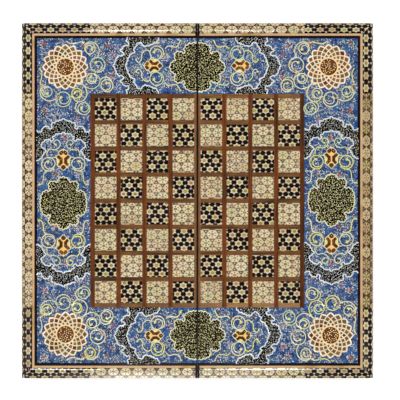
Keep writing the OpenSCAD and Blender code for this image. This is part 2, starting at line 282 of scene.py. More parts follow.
def line_wood(name, tints, drift):
    """Thin strip wood whose colour drifts along its length."""
    finish = Finish(name)
    grain = finish.noise(1100, detail=3)
    colour = finish.ramp(finish.noise(drift), tints)
    finish.surface(colour, grain, rough=(0.35, 0.55), depth=0.02, specular=0.04)
    finish.lacquer(0.55)


def blue_ground(name, tints, fleck_tint):
    """Mottled paint of the border: soft patches of the tints, with fine pale flecks."""
    finish = Finish(name)
    flecks = finish.noise(620, detail=3)
    colour = finish.ramp(finish.noise(130, detail=5, distortion=0.6), tints)
    colour = finish.mix("RGBA", finish.remap(flecks, 0.55, 0.68), colour, linear(fleck_tint))
    finish.surface(colour, flecks, rough=(0.4, 0.6), depth=0.03, specular=0.04)
    finish.lacquer(0.55)


def metal(name, tints, rough, streak=(1, 1, 1)):
    """Metal with worn patches in its colour and brushed marks in its gloss."""
    finish = Finish(name)
    marks = finish.noise(2600, streak, detail=2)
    finish.surface(finish.ramp(finish.noise(140, detail=6), tints), marks, rough, depth=0.01)
    finish.fill(finish.shader, Metallic=1.0)


def make_finishes():
    for name, rgb in {**SLIVERS, **PAINTS}.items():
        flat_tint(name, rgb)
    # The rounded mouldings have the same slivers under more lacquer
    for name, rgb in SLIVERS.items():
        flat_tint(f"{name}_gloss", rgb, coat=1.0, coat_roughness=0.12)
    # Black of the strips at the split: painted shade of the gap between the halves
    flat_tint("split_black", (12, 4, 2), coat=0.15, coat_roughness=0.2)
    blue_ground("blue_ground", [(18, 32, 62), (30, 62, 110), (42, 86, 146), (40, 98, 136)], (128, 140, 166))
    wood("redwood", [(62, 28, 8), (98, 54, 22), (128, 66, 26), (84, 50, 26)], 220, patches=LONG_BAR_PATCHES)
    wood("cross_redwood", [(64, 38, 18), (96, 66, 38), (134, 86, 46), (84, 60, 36)], 240, along="X",
         patches=CROSS_BAR_PATCHES)
    wood("rim_redwood", [(70, 34, 16), (104, 56, 28), (84, 44, 22)], 180, coat=0.3)
    wood("walnut", [(40, 22, 12), (66, 40, 24), (50, 30, 18)], 120, coat=0.15)
    wood("stained_ply", [(22, 14, 10), (36, 24, 16), (28, 18, 12)], 150, coat=0.1)
    wood("maple", [(196, 150, 92), (214, 170, 110), (184, 138, 84), (222, 182, 124)], 110, coat=0.35)
    wood("dark_inlay", [(72, 26, 18), (96, 40, 26), (60, 22, 16)], 200, coat=0.35)
    wood("light_inlay", [(222, 204, 160), (236, 222, 182), (210, 190, 146)], 200, coat=0.35)
    line_wood("gold_line", [(182, 142, 92), (216, 178, 130), (208, 166, 132), (206, 186, 128)], drift=24)
    line_wood("ebony", [(10, 7, 8), (22, 12, 12), (40, 16, 12)], drift=60)
    metal("brass", [(176, 134, 66), (206, 166, 92), (190, 148, 78)], (0.25, 0.42), streak=(1, 0.05, 1))
    metal("nickel", [(176, 170, 160), (200, 196, 188)], (0.18, 0.3))
    metal("steel", [(150, 150, 152), (176, 176, 178)], (0.28, 0.42))


# Meshes

def edges(points):
    """Pairs of neighbours all the way round an outline."""
    return zip(points, points[1:] + points[:1])


def signed_area(points):
    return sum(a[0] * b[1] - b[0] * a[1] for a, b in edges(points)) / 2


def upward(points):
    """The plan points in the order whose face looks up."""
    return points if signed_area(points) > 0 else points[::-1]


def rectangle(x0, x1, y0, y1):
    return [(x0, y0), (x1, y0), (x1, y1), (x0, y1)]


def add(name, data):
    """New object in the scene."""
    item = bpy.data.objects.new(name, data)
    bpy.context.scene.collection.objects.link(item)
    return item


class Shape:
    """Gathers faces in millimetres, each with its finish, and makes one object of one half of them."""

    def __init__(self, half, name):
        self.half = half
        self.name = f"{half}_{name}"
        self.points = {}
        self.faces = []
        self.face_finish = []
        self.face_normals = []

    def face(self, corners, finish, normals=None):
        ring = []
        kept = []
        for i, corner in enumerate(corners):
            key = tuple(round(v, 4) + 0.0 for v in corner)
            number = self.points.setdefault(key, len(self.points))
            if number not in ring:
                ring.append(number)
                kept.append(normals[i] if normals else None)
        if len(ring) > 2:
            self.faces.append(ring)
            self.face_finish.append(finish)
            self.face_normals.append(kept if normals else None)

    def walls(self, outline, low, high, finish):
        """Upright faces round a plan outline, and the face that closes them below."""
        self.face([(*p, low) for p in outline[::-1]], finish)
        for a, b in edges(outline):
            self.face([(*a, low), (*b, low), (*b, high), (*a, high)], finish)

    def prism(self, outline, axis, span, finish):
        """Straight bar: an outline of sideways place and height, drawn out between two places on an axis."""
        def place(sideways, z, s):
            return (axis[0] * s + axis[1] * sideways, axis[1] * s + axis[0] * sideways, z)

        near, far = span
        if (signed_area(outline) > 0) == ((far > near) == (axis[0] > 0)):
            outline = outline[::-1]
        self.face([place(*p, near) for p in outline], finish)
        self.face([place(*p, far) for p in outline[::-1]], finish)
        for a, b in edges(outline):
            self.face([place(*b, near), place(*a, near), place(*a, far), place(*b, far)], finish)

    def build(self, slot, *nodes):
        """Makes the object. It rides on its half's body, in place of the named nodes of that half."""
        body = f"{self.half}_half"
        replaced = [f"{self.half}_{node}" for node in nodes]
        mesh = bpy.data.meshes.new(self.name)
        mesh.from_pydata([[v * MM for v in point] for point in self.points], [], self.faces)
        used = sorted(set(self.face_finish))
        for name in used:
            mesh.materials.append(finishes[name])
        mesh.polygons.foreach_set("material_index", [used.index(name) for name in self.face_finish])
        if any(self.face_normals):
            mesh.polygons.foreach_set("use_smooth", [normals is not None for normals in self.face_normals])
            flat = [(0, 0, 0)]
            mesh.normals_split_custom_set([normal for ring, normals in zip(self.faces, self.face_normals)
                                           for normal in normals or flat * len(ring)])
        piece = add(self.name, mesh)
        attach(piece, body)
        if replaced:
            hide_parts(*replaced)


class Side:
    """One side of the board: s runs along it from an origin, and u runs inwards from its outer edge."""

    def __init__(self, origin, along, inward):
        self.origin = origin
        self.along = along
        self.inward = inward

    def place(self, s, u, z):
        return (*[o + a * s + i * u for o, a, i in zip(self.origin, self.along, self.inward)], z)

    def turned(self, points):
        """A face's points in the order that looks outwards on this side."""
        right_handed = self.along[0] * self.inward[1] > self.along[1] * self.inward[0]
        return points if right_handed else points[::-1]

    def face(self, shape, points, finish):
        shape.face([self.place(*p) for p in self.turned(points)], finish)


def cut(points, height):
    """The part of a convex polygon where height(point) isn't negative."""
    kept = []
    for a, b in edges(points):
        ha, hb = height(a), height(b)
        if ha >= 0:
            kept.append(a)
        if ha * hb < 0:
            t = ha / (ha - hb)
            kept.append(tuple(p + t * (q - p) for p, q in zip(a, b)))
    return kept


def cut_to_span(points, axis, low, high):
    return cut(cut(points, lambda p: p[axis] - low), lambda p: high - p[axis])


# Star marquetry. A pattern is one wedge of 30 degrees, whose corners are a star's centre, the middle of the
# way to the next star, and the middle of the gap between three stars. The way from star to star is 1

CENTRE = (0.0, 0.0)
EDGE = (0.5, 0.0)
GAP = (0.5, 0.5 / ROOT3)


def polar(radius, degrees):
    angle = math.radians(degrees)
    return (radius * math.cos(angle), radius * math.sin(angle))


def polar_from(centre, radius, degrees):
    x, y = polar(radius, degrees)
    return (centre[0] + x, centre[1] + y)


def hub(disc, ring):
    """Wire disc at a star's centre, and the thin ring round it."""
    inner = [polar(disc, degrees) for degrees in (0, 15, 30)]
    outer = [polar(ring, degrees) for degrees in (0, 15, 30)]
    return [("disc", [CENTRE] + inner), ("ring", inner[:1] + outer + inner[:0:-1])]


def dark_wedge():
    """Pale star on black round a wire disc, and a bone dot in each gap that thin links join to the tips."""
    disc, ring, notch, tip, dot_r, link = 0.115, 0.14, 0.25, 0.372, 0.095, 0.02
    tip_at = polar(tip, 30)
    tip_side = (tip_at[0] + link * 0.5, tip_at[1] - link * ROOT3 / 2)
    dot_tip = polar_from(GAP, dot_r, 210)
    dot_side = (dot_tip[0] + link * 0.5, dot_tip[1] - link * ROOT3 / 2)
    dot_mid = polar_from(GAP, dot_r, 235)
    dot_low = polar_from(GAP, dot_r, 270)
    return hub(disc, ring) + [
        ("star", [polar(ring, 0), polar(notch, 0), tip_at, polar(ring, 30), polar(ring, 15)]),
        ("ground", [polar(notch, 0), EDGE, dot_low, dot_mid, dot_side, tip_side, tip_at]),
        ("link", [tip_at, tip_side, dot_side, dot_tip]),
        ("dot", [GAP, dot_tip, dot_side, dot_mid, dot_low]),
    ]


def light_wedge():
    """Hexagon that meets its neighbours corner to corner, with a framed triangle between three of them."""
    disc, ring, spot_at, spot, edge, outline = 0.105, 0.13, 0.25, 0.06, 0.433, 0.02
    arm_side, frame_out, frame_in = (0.30, 0.045), 0.84, 0.42
    edge_mid = polar(edge, 30)
    inner_corner = (0.5 - outline / math.cos(math.radians(30)), 0.0)
    inner_mid = polar(edge - outline, 30)
    spot_in = polar(spot_at - spot, 30)
    spot_out = polar(spot_at + spot, 30)
    spot_x, spot_y = polar(spot_at, 30)
    spot_low = (spot_x + spot * 0.5, spot_y - spot * ROOT3 / 2)

    def towards_gap(point, share):
        return (GAP[0] + share * (point[0] - GAP[0]), GAP[1] + share * (point[1] - GAP[1]))

    edge_out, edge_in = towards_gap(EDGE, frame_out), towards_gap(EDGE, frame_in)
    mid_out, mid_in = towards_gap(edge_mid, frame_out), towards_gap(edge_mid, frame_in)
    return hub(disc, ring) + [
        ("arm", [polar(ring, 0), inner_corner, arm_side, polar(ring, 15)]),
        ("ground", [polar(ring, 15), arm_side, inner_corner, inner_mid, spot_out, spot_low, spot_in,
                    polar(ring, 30)]),
        ("spot", [spot_in, spot_low, spot_out]),
        ("outline", [inner_corner, EDGE, edge_mid, inner_mid]),
        ("bed", [EDGE, edge_out, mid_out, edge_mid]),
        ("frame", [edge_out, edge_in, mid_in, mid_out]),
        ("core", [edge_in, GAP, mid_in]),
    ]


def in_triangles(wedge):
    pieces = []
    for part, outline in wedge:
        for corners in tessellate_polygon([[Vector((x, y, 0)) for x, y in outline]]):
            pieces.append((part, [outline[i] for i in corners]))
    return pieces


def toned(pattern, **tints):
    """The same pattern in slivers of other tints."""
    return {**pattern, "tints": {**pattern["tints"], **tints}}


# A pattern's step is the distance between stars along a row, and that between rows
DARK = {
    "wedge": in_triangles(dark_wedge()),
    "step": (16.2, 12.0),
    "tints": {
        "disc": ["brass_wire", "olive_wire", "tan_bone"],
        "ring": ["umber", "bark"],
        "star": ["bone", "straw", "peach_wood", "lime_wood", "bone"],
        "ground": ["black_wood", "black_wood", "brown_black"],
        "link": ["umber", "ash_bone", "tan_bone"],
        "dot": ["lilac_bone", "lilac_bone", "rose_bone", "ash_bone"],
    },
}
LIGHT = {
    "wedge": in_triangles(light_wedge()),
    "step": (18.0, 12.2),
    "tints": {
        "disc": ["brass_wire", "olive_wire"],
        "ring": ["umber", "tan_bone"],
        "arm": ["ivory", "bone"],
        "ground": ["straw", "bone", "peach_wood", "lime_wood", "fawn"],
        "spot": ["umber", "bark", "umber"],
        "outline": ["tan_bone", "umber", "ash_bone"],
        "frame": ["bark", "umber", "bark"],
        "bed": ["bone", "straw", "fawn"],
        "core": ["ivory", "lilac_bone", "rose_bone", "ash_bone"],
    },
}
# On the mouldings the triangles are dark right out to the hexagons
MOULDING = toned(LIGHT, bed=["umber", "bark", "tan_bone"], outline=["umber", "bark", "tan_bone"],
                 core=["tan_bone", "lilac_bone", "ash_bone", "umber"])
MOULDING_WARM = toned(MOULDING, ground=["fawn", "straw", "peach_wood", "fawn", "tan_bone"])
MOULDING_BROWN = toned(MOULDING, ground=["tan_bone", "fawn", "tan_bone", "olive_wire"],
                       arm=["straw", "fawn"], core=["umber", "tan_bone", "umber", "ash_bone"])
CORNER = toned(DARK, star=["bone", "fawn", "straw", "lime_wood", "fawn"], link=["umber", "ash_bone"])


def marquetry(pattern, window, phase, seed, step=None):
    """Slivers of a pattern inside a window (x0, y0, x1, y1), as pairs of a finish and a convex polygon."""
    step_x, row = step or pattern["step"]
    step_y = row / (ROOT3 / 2)
    x0, y0, x1, y1 = window
    phase_x, phase_y = phase
    for j in range(math.floor((y0 - phase_y) / row) - 1, math.ceil((y1 - phase_y) / row) + 2):
        shift = 0.5 * (j % 2)
        first = math.floor((x0 - phase_x) / step_x - shift) - 1
        last = math.ceil((x1 - phase_x) / step_x - shift) + 1
        for i in range(first, last + 1):
            centre_x = phase_x + (i + shift) * step_x
            centre_y = phase_y + j * row
            if not (x0 - step_x < centre_x < x1 + step_x and y0 - step_y < centre_y < y1 + step_y):
                continue
            dice = random.Random(f"{seed}/{i}/{j}")
            tint = {part: dice.choice(choices) for part, choices in pattern["tints"].items()}
            for turn in range(6):
                cos, sin = polar(1, 60 * turn)
                for flip in (1, -1):
                    for part, outline in pattern["wedge"]:
                        points = [(centre_x + step_x * (x * cos - flip * y * sin),
                                   centre_y + step_y * (x * sin + flip * y * cos)) for x, y in outline]
                        points = cut_to_span(cut_to_span(points, 0, x0, x1), 1, y0, y1)
                        if len(points) > 2:
                            yield tint[part], points


def square_tile(shape, pattern, x0, y0, seed):
    """One chess square: marquetry on top of a plain block."""
    dice = random.Random(seed)
    x1, y1 = x0 + SQUARE_W, y0 + SQUARE_L
    step_x, row = pattern["step"]
    phase = (x0 + dice.random() * step_x, y0 + dice.random() * row)
    for finish, points in marquetry(pattern, (x0, y0, x1, y1), phase, seed):
        shape.face([(*p, FACE_Z) for p in upward(points)], finish)
    shape.walls(rectangle(x0, x1, y0, y1), DECK_TOP, FACE_Z, "bark")


def chess_squares(side, half):
    """All squares of one half. The left half has the dark square at the front corner of the hinge line."""
    for kind, pattern, odd in (("dark", DARK, side > 0), ("light", LIGHT, side < 0)):
        shape = Shape(half, f"{kind}_star_squares")
        for row in range(ROWS):
            for col in range(COLS):
                if (row + col) % 2 == odd:
                    near = SQUARES_X0 + col * PITCH_X
                    x0 = near if side > 0 else -near - SQUARE_W
                    square_tile(shape, pattern, x0, SQUARES_Y0 + row * PITCH_Y, f"{half}{row}{col}")
        shape.build(f"{kind}_khatam", f"{kind}_squares")


# Rounded mouldings and side veneer

def arc_point(v):
    """Distance from the outer edge, height and outward lean of the moulding at developed distance v."""
    angle = v / CROWN_R - ARC_START
    return CROWN_U + CROWN_R * math.sin(angle), CROWN_Z - CROWN_R * (1 - math.cos(angle)), angle


ARC_LEVELS = [arc_point(ARC_LENGTH * k / ARC_STRIPS) for k in range(ARC_STRIPS + 1)]
ARC_SECTION = [(u, z) for u, z, _ in ARC_LEVELS]


def moulding(shape, pattern, side, span, seed, step, star_at, mitred=False, polish=(1, 1)):
    """One length of moulding between two distances along its side.

    One star stands at star_at, a distance along it and a share of the rounded width. Polish says how far the
    lacquer's surface leans on the outer and on the inner slope, as shares of the wood's own lean.
    """
    start, end = span
    strip_w = ARC_LENGTH / ARC_STRIPS
    phase = (star_at[0], ARC_LENGTH * star_at[1])
    for finish, flat in marquetry(pattern, (start, 0, end, ARC_LENGTH), phase, seed, step):
        flat = upward(flat)
        for k in range(ARC_STRIPS):
            low = ARC_LENGTH * k / ARC_STRIPS
            bent = []
            for s, v in cut_to_span(flat, 1, low, low + strip_w):
                t = (v - low) / strip_w
                bent.append((s, *[a + t * (b - a) for a, b in zip(ARC_LEVELS[k], ARC_LEVELS[k + 1])]))
            if mitred:
                bent = cut(bent, lambda p: p[0] - p[1])
            if len(bent) < 3:
                continue
            bent = side.turned(bent)
            leans = [p[3] * polish[0 if p[3] < 0 else 1] for p in bent]
            normals = [(*[i * math.sin(lean) for i in side.inward], math.cos(lean)) for lean in leans]
            shape.face([side.place(*p[:3]) for p in bent], f"{finish}_gloss", normals)

    near_arc = [(u if mitred else start, u, z) for u, z in ARC_SECTION]
    far_arc = [(end, u, z) for u, z in ARC_SECTION]
    near_out, near_in = [(s, u, DECK_TOP) for s, u, _ in (near_arc[0], near_arc[-1])]
    far_out, far_in = [(s, u, DECK_TOP) for s, u, _ in (far_arc[0], far_arc[-1])]
    for wall in (
            [near_out, far_out, far_arc[0], near_arc[0]],
            [far_in, near_in, near_arc[-1], far_arc[-1]],
            near_arc + [near_in, near_out],
            far_arc[::-1] + [far_out, far_in],
            [near_in, far_in, far_out, near_out]):
        side.face(shape, wall, "umber")


# Steps of the stars on the light mouldings, and on the dark corners at front and back
LIGHT_STEP = (17.4, 11.0)
END_STEP = (16.8, 9.8)

# Where one star stands along each kind of length, and on the end mouldings across their width too
OUTER_STAR = 119.0
END_STAR = (13.9, 0.655)
SIDE_CORNER_STAR = 21.3
END_CORNER_STAR = 23.9

# Each half's outer pattern and where its star stands across, and the same corners' step and star across
OUTER_STARS = {
    "left": (MOULDING_WARM, 0.69, (17.6, 10.4), 0.64),
    "right": (MOULDING_BROWN, 0.655, (17.6, 11.4), 0.68),
}
# Where the corner star stands across at each end, and how that end's mouldings are polished
END_CORNERS = {1: (0.66, (0, 1.35)), -1: (0.71, (0, 1.0))}


def mouldings(side, half):
    """Light star moulding along the three free sides, and dark star moulding round both corners."""
    light = Shape(half, "light_mouldings")
    dark = Shape(half, "dark_mouldings")
    outer_x = side * OUTER_X
    outer_pattern, outer_share, side_step, side_share = OUTER_STARS[half]
    outer = Side((outer_x, 0), (0, 1), (-side, 0))
    moulding(light, outer_pattern, outer, (-LIGHT_Y, LIGHT_Y), f"{half}outer", LIGHT_STEP,
             (OUTER_STAR, outer_share))
    for end in (-1, 1):
        edge_y = end * EDGE_Y
        end_share, polish = END_CORNERS[end]
        from_split = Side((0, edge_y), (side, 0), (0, -end))
        down_side = Side((outer_x, edge_y), (0, -end), (-side, 0))
        across_end = Side((outer_x, edge_y), (-side, 0), (0, -end))
        moulding(light, MOULDING, from_split, (CAP_X, LIGHT_X), f"{half}{end}", LIGHT_STEP, END_STAR,
                 polish=polish)
        moulding(dark, CORNER, down_side, (0, EDGE_Y - LIGHT_Y), f"{half}{end}c", side_step,
                 (SIDE_CORNER_STAR, side_share), mitred=True)
        moulding(dark, CORNER, across_end, (0, OUTER_X - LIGHT_X), f"{half}{end}d", END_STEP,
                 (END_CORNER_STAR, end_share), mitred=True, polish=polish)
    light.build("light_khatam", "outer_moulding", "front_moulding", "back_moulding")
    dark.build("dark_khatam", "corner_mouldings")


# Thin strips of the side veneer from either edge to its star band, and how the stars stand there
SIDE_STRIPS = [("black_wood", 1.4), ("gold_line", 1.6), ("black_wood", 0.9), ("rim_redwood", 2.2),
               ("black_wood", 0.7)]
SIDE_STEP = (18.0, 13.4)
SIDE_STAR_AT = 9


def veneer_slab(shape, side, length, seed):
    """One side's veneer: a wide star band between thin strips on its outer face, and plain wood behind."""
    star_w = VENEER_Z1 - VENEER_Z0 - 2 * sum(width for _, width in SIDE_STRIPS)
    z = VENEER_Z0
    for finish, width in SIDE_STRIPS + [("stars", star_w)] + SIDE_STRIPS[::-1]:
        if finish == "stars":
            phase = (SIDE_STAR_AT, z + 0.5 * width)
            for sliver, points in marquetry(LIGHT, (0, z, length, z + width), phase, seed, SIDE_STEP):
                side.face(shape, [(s, 0, height) for s, height in upward(points)], sliver)
        else:
            side.face(shape, [(s, 0, height) for s, height in rectangle(0, length, z, z + width)], finish)
        z += width
    low, high, deep = VENEER_Z0, VENEER_Z1, VENEER_T
    for wall in (
            [(length, deep, low), (0, deep, low), (0, deep, high), (length, deep, high)],
            [(0, deep, low), (0, 0, low), (0, 0, high), (0, deep, high)],
            [(length, 0, low), (length, deep, low), (length, deep, high), (length, 0, high)],
            [(0, deep, low), (length, deep, low), (length, 0, low), (0, 0, low)],
            [(0, 0, high), (length, 0, high), (length, deep, high), (0, deep, high)]):
        side.face(shape, wall, "rim_redwood")


def side_veneer(side, half):
    shape = Shape(half, "side_bands")
    inner_y = EDGE_Y - VENEER_T
    veneer_slab(shape, Side((side * OUTER_X, -inner_y), (0, 1), (-side, 0)), 2 * inner_y, f"{half}veneer")
    for end in (-1, 1):
        free_side = Side((side * HINGE_X, end * EDGE_Y), (side, 0), (0, -end))
        veneer_slab(shape, free_side, OUTER_X - HINGE_X, f"{half}{end}veneer")
    shape.build("light_khatam", "side_veneer")


# How far the black strip at the split, painted shade of the gap between the halves, hangs over the edge,
# covers the face, is sunk into it and stands above it
SHADE_STRIP_LAP = 0.54
SHADE_STRIP_COVER = 0.65
SHADE_STRIP_SUNK = 0.05
SHADE_STRIP_H = 0.28


def split_gap_shade(side, half):
    """Painted shade of the narrow gap at the split: a flat black strip along the edge, and a black cheek on
    the end of each moulding.
    """
    shape = Shape(half, "split_gap_shade_strip")
    lap, cover = side * (HINGE_X - SHADE_STRIP_LAP), side * (HINGE_X + SHADE_STRIP_COVER)
    inner_y = EDGE_Y - MOULD_W
    shade_strip = rectangle(lap, cover, FACE_Z - SHADE_STRIP_SUNK, FACE_Z + SHADE_STRIP_H)
    shape.prism(shade_strip, (0, 1), (-inner_y, inner_y), "split_black")
    for end in (-1, 1):
        cheek = [(end * (EDGE_Y - u), z) for u, z in ARC_SECTION + [(MOULD_W, DECK_TOP), (0, DECK_TOP)]]
        shape.prism(cheek, (1, 0), (lap, side * HINGE_X), "split_black")
    shape.build("ebony")


# Painted ornament: closed plates, mounds and ridged lines, sunk a little into the panel

def plate(shape, outline, top, finish):
    outline = upward(outline)
    shape.face([(*p, top) for p in outline], finish)
    shape.walls(outline, PAINT_BASE, top, finish)


def mound(shape, outline, top, finish):
    """Low pyramid over an outline: one touch of the brush."""
    outline = upward(outline)
    peak = (*[sum(values) / len(outline) for values in zip(*outline)], top)
    base = top - RELIEF
    shape.face([(*p, base) for p in outline[::-1]], finish)
    for a, b in edges(outline):
        shape.face([(*a, base), (*b, base), peak], finish)


def daub(shape, place, size, degrees, top, finish):
    """Leaf-shaped touch of paint, whose size is a length and a width."""
    x, y = place
    length, width = size
    dx, dy = polar(1, degrees)
    outline = [(x + dx * a * length - dy * b * width, y + dy * a * length + dx * b * width)
               for a, b in ((0.5, 0), (0.05, 0.5), (-0.5, 0), (0.05, -0.5))]
    mound(shape, outline, top, finish)


def dot(shape, place, radius, top, finish):
    mound(shape, [polar_from(place, radius, 60 * i) for i in range(6)], top, finish)


# A line with free ends narrows to this share of its width there
TAPER = 0.45


def line(shape, points, width, top, finish, closed=False, taper=True):
    """Ridged paint line through plan points. One at the top level stands on walls that reach the panel."""
    edge = top - RELIEF
    walled = top >= LINE_TOP
    count = len(points)
    sections = []
    for i, (x, y) in enumerate(points):
        before = points[i - 1] if closed or i else points[0]
        after = points[(i + 1) % count] if closed or i + 1 < count else points[-1]
        dx, dy = after[0] - before[0], after[1] - before[1]
        size = math.hypot(dx, dy) or 1.0
        half = 0.5 * width * (TAPER if taper and not closed and i in (0, count - 1) else 1.0)
        side_x, side_y = -dy / size * half, dx / size * half
        sections.append(((x + side_x, y + side_y, edge), (x, y, top), (x - side_x, y - side_y, edge)))

    def low(point):
        return (point[0], point[1], PAINT_BASE if walled else edge)

    pairs = edges(sections) if closed else zip(sections, sections[1:])
    for (left0, mid0, right0), (left1, mid1, right1) in pairs:
        shape.face([mid0, mid1, left1, left0], finish)
        shape.face([right0, right1, mid1, mid0], finish)
        shape.face([low(left0), low(left1), low(right1), low(right0)], finish)
        if walled:
            shape.face([left0, left1, low(left1), low(left0)], finish)
            shape.face([right1, right0, low(right0), low(right1)], finish)
    if not closed:
        for left, mid, right in (sections[0], sections[-1][::-1]):
            shape.face([low(left), low(right), right, mid, left], finish)


def between(a, b, c, d, t):
    """Value at share t of the way from b to c, on a smooth curve that comes from a and goes on to d."""
    square = 2 * b + (c - a) * t + (2 * a - 5 * b + 4 * c - d) * t ** 2
    return 0.5 * (square + (3 * b - a - 3 * c + d) * t ** 3)


def smooth(points, steps=4):
    """Curve through given points."""
    ends = [points[0]] + points + [points[-1]]
    curve = []
    for p0, p1, p2, p3 in zip(ends, ends[1:], ends[2:], ends[3:]):
        for k in range(steps):
            curve.append(tuple(between(*values, k / steps) for values in zip(p0, p1, p2, p3)))
    return curve + [points[-1]]


# Small bulges along the edges of the medallions and arches
SCALLOP_STEPS = 6
SCALLOP_PITCH = 5.6
MEDALLION_SCALLOP = 1.5
ARCH_SCALLOP = 1.1


def scalloped(path, turn, depth):
    """The path with a row of small round bulges to one side, a whole number of them from end to end."""
    spans = [math.dist(a, b) for a, b in zip(path, path[1:])]
    count = max(1, round(sum(spans) / SCALLOP_PITCH)) * SCALLOP_STEPS
    step = sum(spans) / count
    points = []
    for k in range(count + 1):
        left = min(k * step, sum(spans) - 1e-6)
        i = 0
        while left > spans[i]:
            left -= spans[i]
            i += 1
        (ax, ay), (bx, by) = path[i], path[i + 1]
        dx, dy = (bx - ax) / spans[i], (by - ay) / spans[i]
        out = turn * depth * (abs(math.cos(math.pi * k / SCALLOP_STEPS)) - 0.5)
        points.append((ax + dx * left + dy * out, ay + dy * left - dx * out))
    return points


# Places, sizes and counts of the border's motifs. Places are distances from the board's centre
BAND_X = (FIELD_X + PANEL_X) / 2
BAND_Y = (FIELD_Y + PANEL_Y) / 2
ROSETTE = (186.0, 187.5)
ROSETTE_TIP = 31.7
ROSETTE_NOTCH = 27.6
MEDALLION_R = 31
PETALS = 16
PETAL_STEPS = 6
NET_RINGS = 5
NET_SPREAD = 1.12
CELL_SHARES = (0.62, 0.72, 0.76, 0.74)
DISC_R = 11.8
DISC_STEPS = 36
COLLAR_R = 12.6
SEEDS = 44
SEED_SPREAD = 1.6
SEED_TURN = 137.5
MEDALLION_EDGE = [
    (0, 34.2), (6, 33.8), (12, 32.4), (16.4, 29.6), (18.6, 26.2), (17.7, 21.8), (18.5, 18.8), (21.8, 20.9),
    (26, 22), (30.4, 20.8), (32.2, 17), (31.5, 12.4), (31.1, 9.2), (34.6, 7.8), (37.4, 4.6), (38.6, 0),
]
MEDALLION_INSET = 0.955
SIDE_MEDALLION_SCALE = 0.95

# How far a halved medallion and its strokes keep off the split
MEDALLION_OFF_SPLIT = 0.05
STROKES_OFF_SPLIT = 1.3

# Half arches and the stems inside them: distances from the board's middle line, and from the border's
ARCH_OUTER = [
    (118.5, 0), (116.5, 3.5), (114.5, 9), (112.2, 13), (108.2, 13.9), (104.7, 14.7), (103.9, 17),
    (104.7, 19), (107.6, 19.9), (108.8, 21.6), (107, 23.5), (105, 24.8), (104.4, 27.2), (101.3, 28.2),
    (97.3, 28.8), (96.4, 30.8), (97.8, 32.8), (99.9, 35), (99.6, 37.3), (98.4, 39.5),
]
ARCH_INNER = [
    (101, 0), (99.3, 4.5), (98, 9), (96, 13), (93.5, 16.8), (89.5, 17.8), (88.6, 20.5), (89.6, 23.5),
    (86.5, 27), (85, 30.5), (81.3, 32.8), (78.2, 30.8), (76, 27.4), (71.4, 27.6), (67.4, 28.5),
    (64.5, 29.9), (62.2, 31.4), (59.3, 31.8), (57, 33.7), (55.6, 36), (54.4, 39.5),
]
ARCH_STEM = [(46, 23.5), (42, 27.5), (37, 27), (31, 26.3), (27, 29.5), (24.5, 35)]
ARCH_HOOK = [
    (86.5, 8.6), (84, 4.9), (80.5, 6.2), (78.5, 11), (78.5, 16), (75, 20.4), (70.8, 22), (66.5, 19.5),
]
SIDE_ARCH_OUTER = [
    (114.5, 0), (112.1, 4.4), (111.3, 8.5), (109.2, 12.5), (107.5, 17), (103, 16), (99.5, 18.6),
    (103.5, 21.5), (103.5, 25), (101.6, 29), (97.2, 30.5), (95.5, 33.5), (98, 38),
]
SIDE_ARCH_INNER = [
    (95.5, 0), (92.9, 4.4), (93.5, 8.5), (90.7, 11.8), (88.6, 15), (85.2, 13.6), (83, 16.5), (85.5, 20),
    (84.6, 24.6), (81.5, 28.5), (77.3, 31.3), (73.5, 29), (71.7, 25.8), (68.5, 24.8), (65, 27.9),
    (61, 29.5), (57.5, 33), (55, 38),
]
SIDE_ARCH_STEM = [(40.8, 22.6), (38.9, 26.7), (33.4, 28), (26.2, 28.9), (22.4, 31.3), (21.8, 34.4)]
SIDE_ARCH_HOOK = [
    (77.8, 10.1), (79.7, 13.2), (82.9, 12.6), (84.8, 9.4), (82.9, 5.7), (78.5, 4.4), (74.1, 6.3),
    (71.6, 10.1), (70.9, 14.5), (72.2, 18.9), (69, 22), (64.6, 23.3), (61.5, 22.6),
]
ARCH_SCROLL = (57.5, 18.2)
SIDE_ARCH_SCROLL = (50.7, 21.0)
ARCH_SCROLL_R = 9.7

# Palmettes: their distance from the board's middle line, and their size
END_PALMETTE = (62.5, 0.9)
SIDE_PALMETTE = (57.0, 1.0)

# Corner scrolls, each with a centre, a radius, the angle where it starts and its hand, and corner stems.
# Places are distances from the rosette's centre, towards the board's middle and inwards
CORNER_SCROLLS = [
    ((34.6, -26.0), 7.6, 150, 1), ((45.5, -2.9), 10.6, 100, -1), ((37.2, 16.2), 7.2, 20, 1),
    ((58.6, 26.2), 8.6, 130, -1),
]
CORNER_STEMS = [
    [(1.2, -36.6), (7.8, -33), (16.8, -33.8), (22.7, -35.4), (26.9, -32), (29, -28)],
    [(27.6, -32.4), (34.6, -35.5), (42.4, -33.1), (47, -26.8), (47.5, -19.7), (44.9, -13.2)],
    [(43, 7.7), (41.4, 9.4), (46.6, 13.4), (49, 18.3), (46.6, 26), (38.9, 30.7), (30.4, 28.9), (24, 24.6),
     (17.7, 24.8)],
    [(49.4, 18.3), (52.9, 15.2), (57.9, 14.4), (63.2, 17.6), (67.2, 24)],
]
RED_FLOWERS = [
    (216, 221), (214.7, 125.6), (127.4, 218.5), (120.4, 206.5), (160, 219), (219, 160), (120, 175),
    (199.7, 36.7), (187.5, 88),
]
LILAC_FLOWERS = [
    (43.8, 201.8), (38.3, 174), (170.5, 114.3), (168, 37.5), (203, 118), (136, 186), (198, 146),
]

